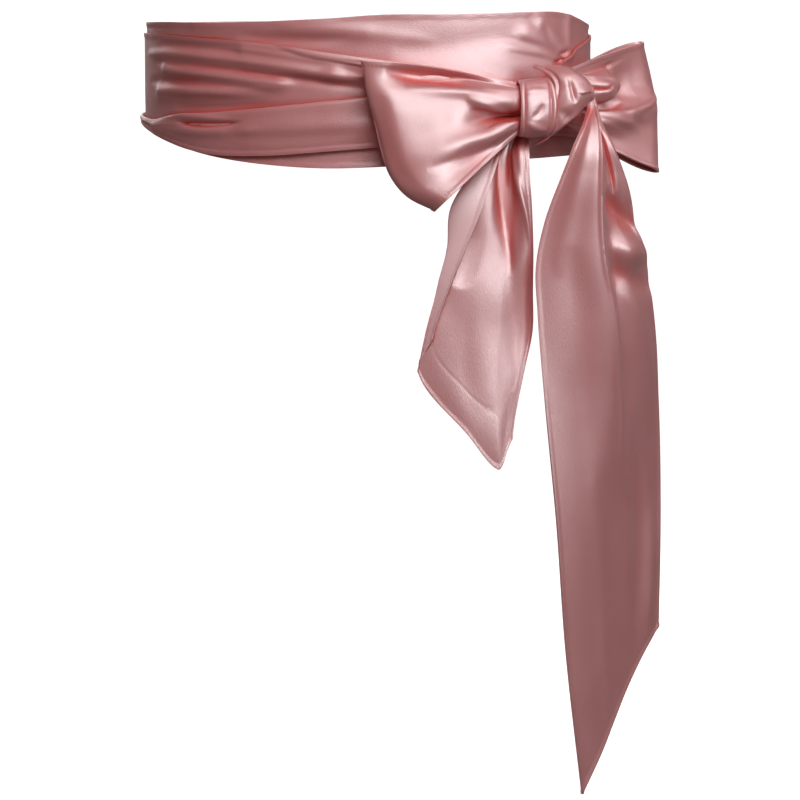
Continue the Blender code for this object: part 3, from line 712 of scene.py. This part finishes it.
INNER_CREASES = crease_table(
    (-64, 23, -84, 29, -116, 36, 3.0, -1.1),
    (-64, 25, -76, 34, -84, 45, 2.8, -1.1),
    (-62, 21, -84, 23, -110, 27, 2.8, -0.9),
    (-66, 25, -82, 34, -98, 43, 2.8, 0.8),
    (-64, 22, -84, 25, -116, 30, 2.6, 0.6),
    (-56, 28, -62, 26, -68, 24, 1.1, -2.2),
    (-60, 22.5, -66, 21, -74, 19.5, 1.1, -2.2),
    (-262, 38, -232, 34, -196, 35, 4.0, -1.4),
    (-240, 42, -205, 40, -150, 33, 5.0, 1.1),
    (-176, 28, -140, 30, -100, 40, 9.0, -1.6),
    (20, 20, 70, 24, 120, 26, 5.0, 1.0),
    (60, 8, 130, 6, 200, 2, 6.0, -1.0),
    (210, 24, 255, 20, 300, 18, 5.0, 1.0),
)
OUTER_CREASES = crease_table(
    (-352, 25.0, -272, 22.5, -186, 9.0, 3.8, 2.6),
    (-336, 21.0, -268, 16.5, -184, 3.5, 3.4, -2.6),
    (-330, 31.0, -290, 29.0, -228, 22.0, 2.8, -1.5),
    (-324, 14.5, -280, 13.0, -226, 7.0, 3.0, 2.0),
    (-346, 8.0, -296, 8.5, -240, 3.0, 3.0, -2.0),
    (-330, 2.0, -290, 3.0, -236, -1.0, 2.8, 1.6),
    (-310, -7.0, -268, -8.0, -212, -5.0, 2.4, -4.2),
    (4, 29.0, 66, 24.0, 146, 21.0, 3.6, 2.0),
    (10, 22.5, 72, 17.5, 158, 12.0, 3.4, -2.2),
    (24, 13.0, 92, 9.0, 174, 5.0, 3.2, 1.8),
    (132, 29.0, 212, 26.0, 318, 15.0, 3.8, 2.4),
    (166, 20.5, 238, 18.5, 336, 6.5, 3.6, -2.4),
    (206, 10.5, 262, 9.0, 346, 0.5, 3.2, 2.0),
    (214, 3.0, 270, 2.0, 330, -6.0, 2.8, -1.6),
)
LIP_CREASES = crease_table(
    (-322, -13.0, -300, -12.0, -258, -15.0, 2.2, 1.5),
    (-302, -16.0, -280, -17.6, -256, -16.0, 1.7, -3.6),
    (-306, -21.5, -276, -22.0, -240, -20.0, 3.5, 0.9),
    (-262, -25.0, -225, -24.5, -190, -21.0, 4.5, -1.0),
    (30, -17.0, 96, -20.5, 168, -21.0, 3.6, 1.5),
    (150, -15.0, 230, -17.5, 310, -14.0, 3.2, -1.5),
)
TOP_PLEAT = table(
    "along  low",
    (-240, 31.0),
    (-220, 23.8),
    (-204, 20.5),
    (-192, 18.2),
    (-165, 13.5),
)
TOP_PLEAT_STEP = 1.3      # how far the pleat stands out
TOP_PLEAT_EDGE = 0.6      # height over which it rises from the panel
TOP_PLEAT_START = -238.0  # along the waist, where it begins to rise
TOP_PLEAT_END = -150.0    # where it has run out
TOP_PLEAT_RISE = 12.0
TOP_PLEAT_FALL = 20.0
UPPER_PANEL = 0.30        # share of the outer wrap's section that is its upper panel
UPPER_FADE = 0.04         # share over which the folds fade out at the panel's end
LOWER_PANEL = 0.66        # share where its lower panel begins
LOWER_FADE = 0.05


def wrap_places(u, points):
    """Along the waist as its angle times MM_PER_DEGREE, and across as the height."""
    return (360.0 * u - 180.0) * MM_PER_DEGREE, points[:, 2]


def inner_relief(u, v, points):
    """Small folds of the first turn."""
    return crease_height(INNER_CREASES, *wrap_places(u, points))


def outer_relief(u, v, points):
    """Small folds of the upper panel, the pleat along its top, and the folds of the lower one."""
    along, height = wrap_places(u, points)
    upper = crease_height(OUTER_CREASES, along, height)
    above = np.clip((height - read(TOP_PLEAT, "along", "low", along)) / TOP_PLEAT_EDGE, 0.0, 1.0)
    rise = np.clip((along - TOP_PLEAT_START) / TOP_PLEAT_RISE, 0.0, 1.0)
    fall = np.clip((TOP_PLEAT_END - along) / TOP_PLEAT_FALL, 0.0, 1.0)
    upper += TOP_PLEAT_STEP * above * rise * fall
    upper *= np.clip((UPPER_PANEL - v) / UPPER_FADE, 0.0, 1.0)
    lower = crease_height(LIP_CREASES, along, height)
    lower *= np.clip((v - LOWER_PANEL) / LOWER_FADE, 0.0, 1.0)
    return -(upper + lower)


BAND_ROUND = 92.0         # length round the upright turn of the knot
BAND_WIDTH = 17.0
BAND_CREASES = crease_table(
    (-4, 1.0, 20, 0.9, 50, 0.9, 0.8, 0.7),
    (8, 2.2, 20, 2.0, 38, 2.2, 0.6, -1.3),
    (15.5, 1.5, 14.5, 8.0, 15.5, 15.0, 1.9, 0.9),
    (21.0, 10.5, 24.5, 9.0, 27.0, 5.0, 1.5, -1.0),
    (29.0, 3.0, 33.0, 8.0, 35.0, 14.0, 2.2, 0.9),
    (0, 15.0, 24, 14.4, 48, 14.8, 0.7, -1.2),
    (0, 16.3, 24, 16.1, 48, 16.3, 0.6, 0.6),
    (50, 9.0, 67, 9.0, 84, 8.0, 2.5, 1.0),
)
CROSS_ROUND = 62.0
CROSS_WIDTH = 26.0
CROSS_CREASES = crease_table(
    (-3, 1.2, 12, 1.2, 30, 1.2, 0.9, 0.9),
    (-3, 3.0, 12, 3.0, 31, 3.2, 0.8, -1.2),
    (16, 2.5, 20, 6.0, 24, 9.5, 4.2, 1.3),
    (19, 9.4, 27, 11.6, 36, 13.8, 1.9, -1.7),
    (30, 16.0, 28, 20.0, 27, 25.0, 2.4, 1.2),
    (34, 3.0, 39, 8.0, 46, 11.0, 2.2, -1.2),
    (42, 5.0, 47, 12.0, 52, 18.0, 2.2, 1.0),
)


def band_relief(u, v, points):
    """Along round the band from its top, across from its left edge."""
    return crease_height(BAND_CREASES, u * BAND_ROUND, v * BAND_WIDTH)


def cross_relief(u, v, points):
    """Along round the strand from its top, across from its left edge."""
    return crease_height(CROSS_CREASES, u * CROSS_ROUND, v * CROSS_WIDTH)


NECK_SHARE = 0.04         # share of the reach where a loop's creases grow to full height
LEFT_LOOP_CREASES = crease_table(
    (80, 4.5, 60, 10.0, 26, 16.0, 4.6, -2.8),
    (70, 17.5, 46, 20.0, 16, 25.0, 4.2, 1.4),
    (36, 27.0, 24, 33.0, 10, 48.0, 4.0, 1.8),
    (34, 36.0, 20, 43.0, 4, 58.0, 3.6, -2.4),
    (24, 62.0, 15, 67.0, 4, 70.0, 3.6, 1.6),
    (24, 90.0, 44, 84.0, 70, 76.0, 6.0, -1.2),
    (84, 20.0, 88, 50.0, 80, 88.0, 8.0, -1.6),
)
RIGHT_LOOP_CREASES = crease_table(
    (2, 33.0, 22, 43.5, 36, 33.0, 3.6, 3.6),
    (31, 39.0, 39, 28.0, 26, 18.5, 3.4, 3.2),
    (12, 28.5, 22, 31.5, 30, 27.0, 3.0, -3.4),
    (40, 6.0, 44, 22.0, 42, 40.0, 4.0, -2.0),
    (14, 49.0, 32, 56.0, 52, 44.0, 3.6, -2.4),
    (12, 67.0, 42, 61.0, 90, 33.0, 3.2, 2.6),
    (50, 66.0, 66, 62.0, 88, 58.0, 8.0, -1.2),
    (8, 10.0, 26, 12.0, 60, 6.0, 3.0, -1.4),
)


def loop_relief(creases, outward):
    """Small folds of a loop's front layer, along from the knot and across from the top edge.

    outward is 1 where the normals of the layer face out, and -1 where they face in.
    """
    def relief(u, v, points):
        reach = 1.0 - np.abs(1.0 - 2.0 * u) ** LOOP_SPACING
        height = crease_height(creases, reach * LOOP_REACH, (1.0 - v) * LOOP_WIDTH)
        front = np.where(u < 0.5, 1.0, 0.0)
        return outward * height * front * np.clip(reach / NECK_SHARE, 0.0, 1.0)
    return relief


LEFT_TAIL_CREASES = crease_table(
    (20, 34, 54, 46, 108, 66, 6.0, -3.2),
    (28, 66, 62, 80, 104, 88, 3.4, 1.8),
    (62, 26, 92, 34, 116, 34, 7.0, -2.8),
    (70, 28, 116, 42, 190, 58, 13.0, 2.6),
    (112, 14, 176, 38, 232, 72, 18.0, 2.4),
    (86, 56, 130, 72, 180, 84, 9.0, -1.6),
    (146, 24, 182, 46, 206, 84, 0.8, -0.15),
)
RIGHT_TAIL_CREASES = crease_table(
    (4, 40, 60, 40, 120, 42, 1.8, 1.8),
    (90, 40, 150, 47, 230, 54, 3.5, 1.6),
    (14, 60, 36, 72, 60, 72, 5.5, -3.2),
    (20, 82, 44, 91, 68, 96, 4.5, 2.0),
    (60, 52, 73, 80, 82, 104, 10.0, -4.4),
    (92, 52, 94, 78, 99, 104, 8.5, 3.6),
    (108, 54, 113, 80, 120, 104, 9.0, -2.4),
    (118, 62, 144, 82, 190, 92, 10.0, 1.8),
    (16, 22, 56, 18, 110, 14, 7.0, 1.6),
    (90, 20, 150, 26, 240, 24, 11.0, -1.4),
    (200, 66, 270, 76, 350, 72, 9.0, -1.5),
    (230, 28, 310, 36, 390, 34, 9.0, 1.2),
    (260, 86, 300, 90, 350, 86, 6.0, 1.2),
)


def tail_relief(creases):
    """Small folds of a tail, along down from the waist and across in hundredths of its width."""
    def relief(u, v, points):
        return crease_height(creases, -points[:, 2], 100.0 * v)
    return relief


# Material

# Colours of the satin: its face between a deeper and a paler tone, the dark red shade painted into its
# creases, and its reverse
SATIN = (0.53, 0.185, 0.190, 1.0)
SATIN_DEEP = (0.50, 0.163, 0.168, 1.0)
SATIN_PALE = (0.55, 0.205, 0.210, 1.0)
# Painted shade: the dark red that creases and places closed in by other cloth go toward
SATIN_CREASE_SHADE = (0.57, 0.056, 0.046, 1.0)
SATIN_REVERSE = (0.84, 0.51, 0.53, 1.0)


# Sockets of a Mix node that mixes colours
MIX_SHARE = 0
MIX_FIRST = 6
MIX_SECOND = 7
MIX_RESULT = 2


def colour_mix(tree, share, first, second):
    """A node's output that goes from one colour's socket to a fixed colour as the share rises."""
    mix = tree.nodes.new("ShaderNodeMix")
    mix.data_type = "RGBA"
    mix.inputs[MIX_SECOND].default_value = second
    tree.links.new(share, mix.inputs[MIX_SHARE])
    tree.links.new(first, mix.inputs[MIX_FIRST])
    return mix.outputs[MIX_RESULT]


def satin_material():
    """Blush satin: a soft broad sheen, a paler reverse, dark red shade painted into the creases and a
    fine woven grain.
    """
    material = bpy.data.materials.new("sash_satin")
    material.use_nodes = True
    nodes = material.node_tree.nodes
    link = material.node_tree.links.new
    shader = nodes["Principled BSDF"]
    shader.inputs["Roughness"].default_value = 0.42
    shader.inputs["IOR"].default_value = 2.1
    shader.inputs["Specular IOR Level"].default_value = 0.5
    shader.inputs["Sheen Weight"].default_value = 0.15
    shader.inputs["Sheen Roughness"].default_value = 0.45
    shader.inputs["Sheen Tint"].default_value = (1.0, 0.80, 0.82, 1.0)
    place = nodes.new("ShaderNodeTexCoord")
    cloud = nodes.new("ShaderNodeTexNoise")
    cloud.inputs["Scale"].default_value = 26.0
    cloud.inputs["Detail"].default_value = 3.0
    link(place.outputs["Object"], cloud.inputs["Vector"])
    ramp = nodes.new("ShaderNodeValToRGB")
    ramp.color_ramp.elements[0].position = 0.30
    ramp.color_ramp.elements[0].color = SATIN_DEEP
    ramp.color_ramp.elements[1].position = 0.72
    ramp.color_ramp.elements[1].color = SATIN_PALE
    middle = ramp.color_ramp.elements.new(0.5)
    middle.color = SATIN
    link(cloud.outputs["Fac"], ramp.inputs["Fac"])
    # Painted shade: the deeper a place lies in a crease, the closer its colour goes to the dark red
    # crease shade
    depth = nodes.new("ShaderNodeAttribute")
    depth.attribute_name = "depth"
    reach = nodes.new("ShaderNodeMapRange")
    reach.inputs["From Min"].default_value = 0.08
    reach.inputs["From Max"].default_value = 0.46
    link(depth.outputs["Fac"], reach.inputs["Value"])
    reverse = nodes.new("ShaderNodeAttribute")
    reverse.attribute_name = "reverse"
    side = colour_mix(material.node_tree, reverse.outputs["Fac"], ramp.outputs["Color"], SATIN_REVERSE)
    shaded_colour = colour_mix(material.node_tree, reach.outputs["Result"], side, SATIN_CREASE_SHADE)
    link(shaded_colour, shader.inputs["Base Color"])
    grain_map = nodes.new("ShaderNodeUVMap")
    grain_map.uv_map = "cloth"
    stretch = nodes.new("ShaderNodeMapping")
    stretch.inputs["Scale"].default_value = (500.0, 2600.0, 1.0)
    link(grain_map.outputs["UV"], stretch.inputs["Vector"])
    grain = nodes.new("ShaderNodeTexNoise")
    grain.inputs["Scale"].default_value = 1.0
    grain.inputs["Detail"].default_value = 2.0
    link(stretch.outputs["Vector"], grain.inputs["Vector"])
    bump = nodes.new("ShaderNodeBump")
    bump.inputs["Strength"].default_value = 0.40
    bump.inputs["Distance"].default_value = 0.0004
    link(grain.outputs["Fac"], bump.inputs["Height"])
    link(bump.outputs["Normal"], shader.inputs["Normal"])


def plain_material(name, colour, roughness):
    material = bpy.data.materials.new(name)
    material.use_nodes = True
    shader = material.node_tree.nodes["Principled BSDF"]
    shader.inputs["Base Color"].default_value = colour
    shader.inputs["Roughness"].default_value = roughness
    return material


# Studio

CAMERA_DISTANCE = 2.0
CAMERA_ELEVATION = math.radians(6.5)
CAMERA_TARGET = (0.0215, 0.0, -0.196)
CAMERA_LENS = 140.0
FLOOR_HEIGHT = -0.52
SWEEP_HALF_WIDTH = 4.0
SWEEP_NEAR = -5.0         # where the floor begins, in front
SWEEP_FAR = 2.0           # where it starts to turn up
SWEEP_BEND = 1.0          # radius of the turn
SWEEP_WALL = 6.0          # height of the wall
SWEEP_STEPS = 24
SWEEP_GLOW = 0.95
BOW = (0.08, -0.09, -0.03)
WHITE = (1.0, 1.0, 1.0)
SKY = (1.0, 0.76, 0.69, 1.0)
SKY_STRENGTH = 0.17


def camera():
    lens = bpy.data.cameras.new("camera")
    lens.lens = CAMERA_LENS
    lens.sensor_width = 36.0
    body = bpy.data.objects.new("camera", lens)
    x, y, z = CAMERA_TARGET
    body.location = (x, y - CAMERA_DISTANCE * math.cos(CAMERA_ELEVATION),
                     z + CAMERA_DISTANCE * math.sin(CAMERA_ELEVATION))
    body.rotation_euler = (math.pi / 2 - CAMERA_ELEVATION, 0.0, 0.0)
    bpy.context.scene.collection.objects.link(body)
    bpy.context.scene.camera = body


def area_light(name, place, aim, size, watts, colour=WHITE, gloss_only=False):
    """A flat lamp; gloss_only lets it show in the satin's shine and light nothing else."""
    lamp = bpy.data.lights.new(name, "AREA")
    lamp.shape = "RECTANGLE"
    lamp.size, lamp.size_y = size
    lamp.energy = watts
    lamp.color = colour
    body = bpy.data.objects.new(name, lamp)
    body.location = place
    away = np.array(place) - np.array(aim)
    flat = math.hypot(away[0], away[1])
    body.rotation_euler = (math.atan2(flat, away[2]), 0.0, math.atan2(away[0], -away[1]))
    body.visible_diffuse = not gloss_only
    bpy.context.scene.collection.objects.link(body)


def sweep():
    """A pale floor that turns up into a wall behind, in one smooth sheet."""
    profile = [(SWEEP_NEAR, FLOOR_HEIGHT), (SWEEP_FAR, FLOOR_HEIGHT)]
    for i in range(1, SWEEP_STEPS + 1):
        turn = math.radians(i * 90 / SWEEP_STEPS)
        profile.append((SWEEP_FAR + SWEEP_BEND * math.sin(turn),
                        FLOOR_HEIGHT + SWEEP_BEND * (1 - math.cos(turn))))
    profile.append((SWEEP_FAR + SWEEP_BEND, FLOOR_HEIGHT + SWEEP_WALL))
    verts = [(x, y, z) for y, z in profile for x in (-SWEEP_HALF_WIDTH, SWEEP_HALF_WIDTH)]
    faces = [(2 * i, 2 * i + 1, 2 * i + 3, 2 * i + 2) for i in range(len(profile) - 1)]
    mesh = bpy.data.meshes.new("studio_sweep")
    mesh.from_pydata(verts, [], faces)
    mesh.shade_smooth()
    white = plain_material("studio_white", (0.90, 0.90, 0.90, 1.0), 0.9)
    shader = white.node_tree.nodes["Principled BSDF"]
    shader.inputs["Emission Color"].default_value = (1.0, 1.0, 1.0, 1.0)
    shader.inputs["Emission Strength"].default_value = SWEEP_GLOW
    mesh.materials.append(white)
    backdrop = bpy.data.objects.new("studio_sweep", mesh)
    backdrop.visible_diffuse = False
    backdrop.visible_glossy = False
    bpy.context.scene.collection.objects.link(backdrop)


def studio():
    """Soft light from above and behind, and two lamps on the right that only shine."""
    world = bpy.context.scene.world or bpy.data.worlds.new("studio")
    bpy.context.scene.world = world
    world.use_nodes = True
    sky = world.node_tree.nodes["Background"]
    sky.inputs["Color"].default_value = SKY
    sky.inputs["Strength"].default_value = SKY_STRENGTH
    area_light("fill", place=(-0.5, 1.3, 0.6), aim=(0.0, 0.05, -0.05), size=(1.4, 1.0), watts=12.0)
    area_light("key", place=(0.32, -1.00, 0.70), aim=BOW, size=(0.9, 0.6), watts=12.0)
    area_light("shine", place=(0.98, -1.02, 0.20), aim=(0.08, -0.09, -0.10), size=(0.8, 0.6),
               watts=19.5, colour=(0.97, 0.97, 1.0), gloss_only=True)
    area_light("side_shine", place=(0.95, -0.40, 0.95), aim=(0.15, -0.07, -0.03), size=(0.7, 0.7),
               watts=9.0, colour=(0.93, 0.97, 1.0), gloss_only=True)
    sweep()
    view = bpy.context.scene.view_settings
    view.view_transform = "Standard"
    view.look = "None"


satin_material()
camera()
studio()

# The eight sheets, with their columns and rows of stations

sheets = [
    make_sheet("inner_wrap", inner_wrap, inner_relief, 400, 64, closed=True),
    make_sheet("outer_wrap", outer_wrap, outer_relief, 400, 112, closed=True, face=-1),
    make_sheet("knot_upright", knot_band, band_relief, 120, 36, closed=True),
    make_sheet("knot_crossing", knot_cross, cross_relief, 96, 64),
    make_sheet("left_loop",
               loop(LEFT_LOOP_EDGES, LEFT_LOOP_FORM, LEFT_LOOP_BACK, "left", LEFT_OUTWARD),
               loop_relief(LEFT_LOOP_CREASES, -1.0), 240, 112, face=-1),
    make_sheet("right_loop",
               loop(RIGHT_LOOP_EDGES, RIGHT_LOOP_FORM, RIGHT_LOOP_BACK, "right", RIGHT_OUTWARD),
               loop_relief(RIGHT_LOOP_CREASES, 1.0), 240, 112),
    make_sheet("left_tail", tail(LEFT_TAIL, LEFT_TAIL_ENDS),
               tail_relief(LEFT_TAIL_CREASES), 200, 108, hems="low top end"),
    make_sheet("right_tail", tail(RIGHT_TAIL, RIGHT_TAIL_ENDS),
               tail_relief(RIGHT_TAIL_CREASES), 320, 108, hems="low top end"),
]
crease_depths(sheets)
inner, outer, band, cross, left_loop, right_loop, left_tail, right_tail = map(shell, sheets)

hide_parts("band_inner_wrap")
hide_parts("band_outer_wrap")
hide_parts("knot_band")
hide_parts("knot_cross")
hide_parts("bow_loop_left")
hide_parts("bow_loop_right")
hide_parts("tail_left")
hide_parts("tail_right")
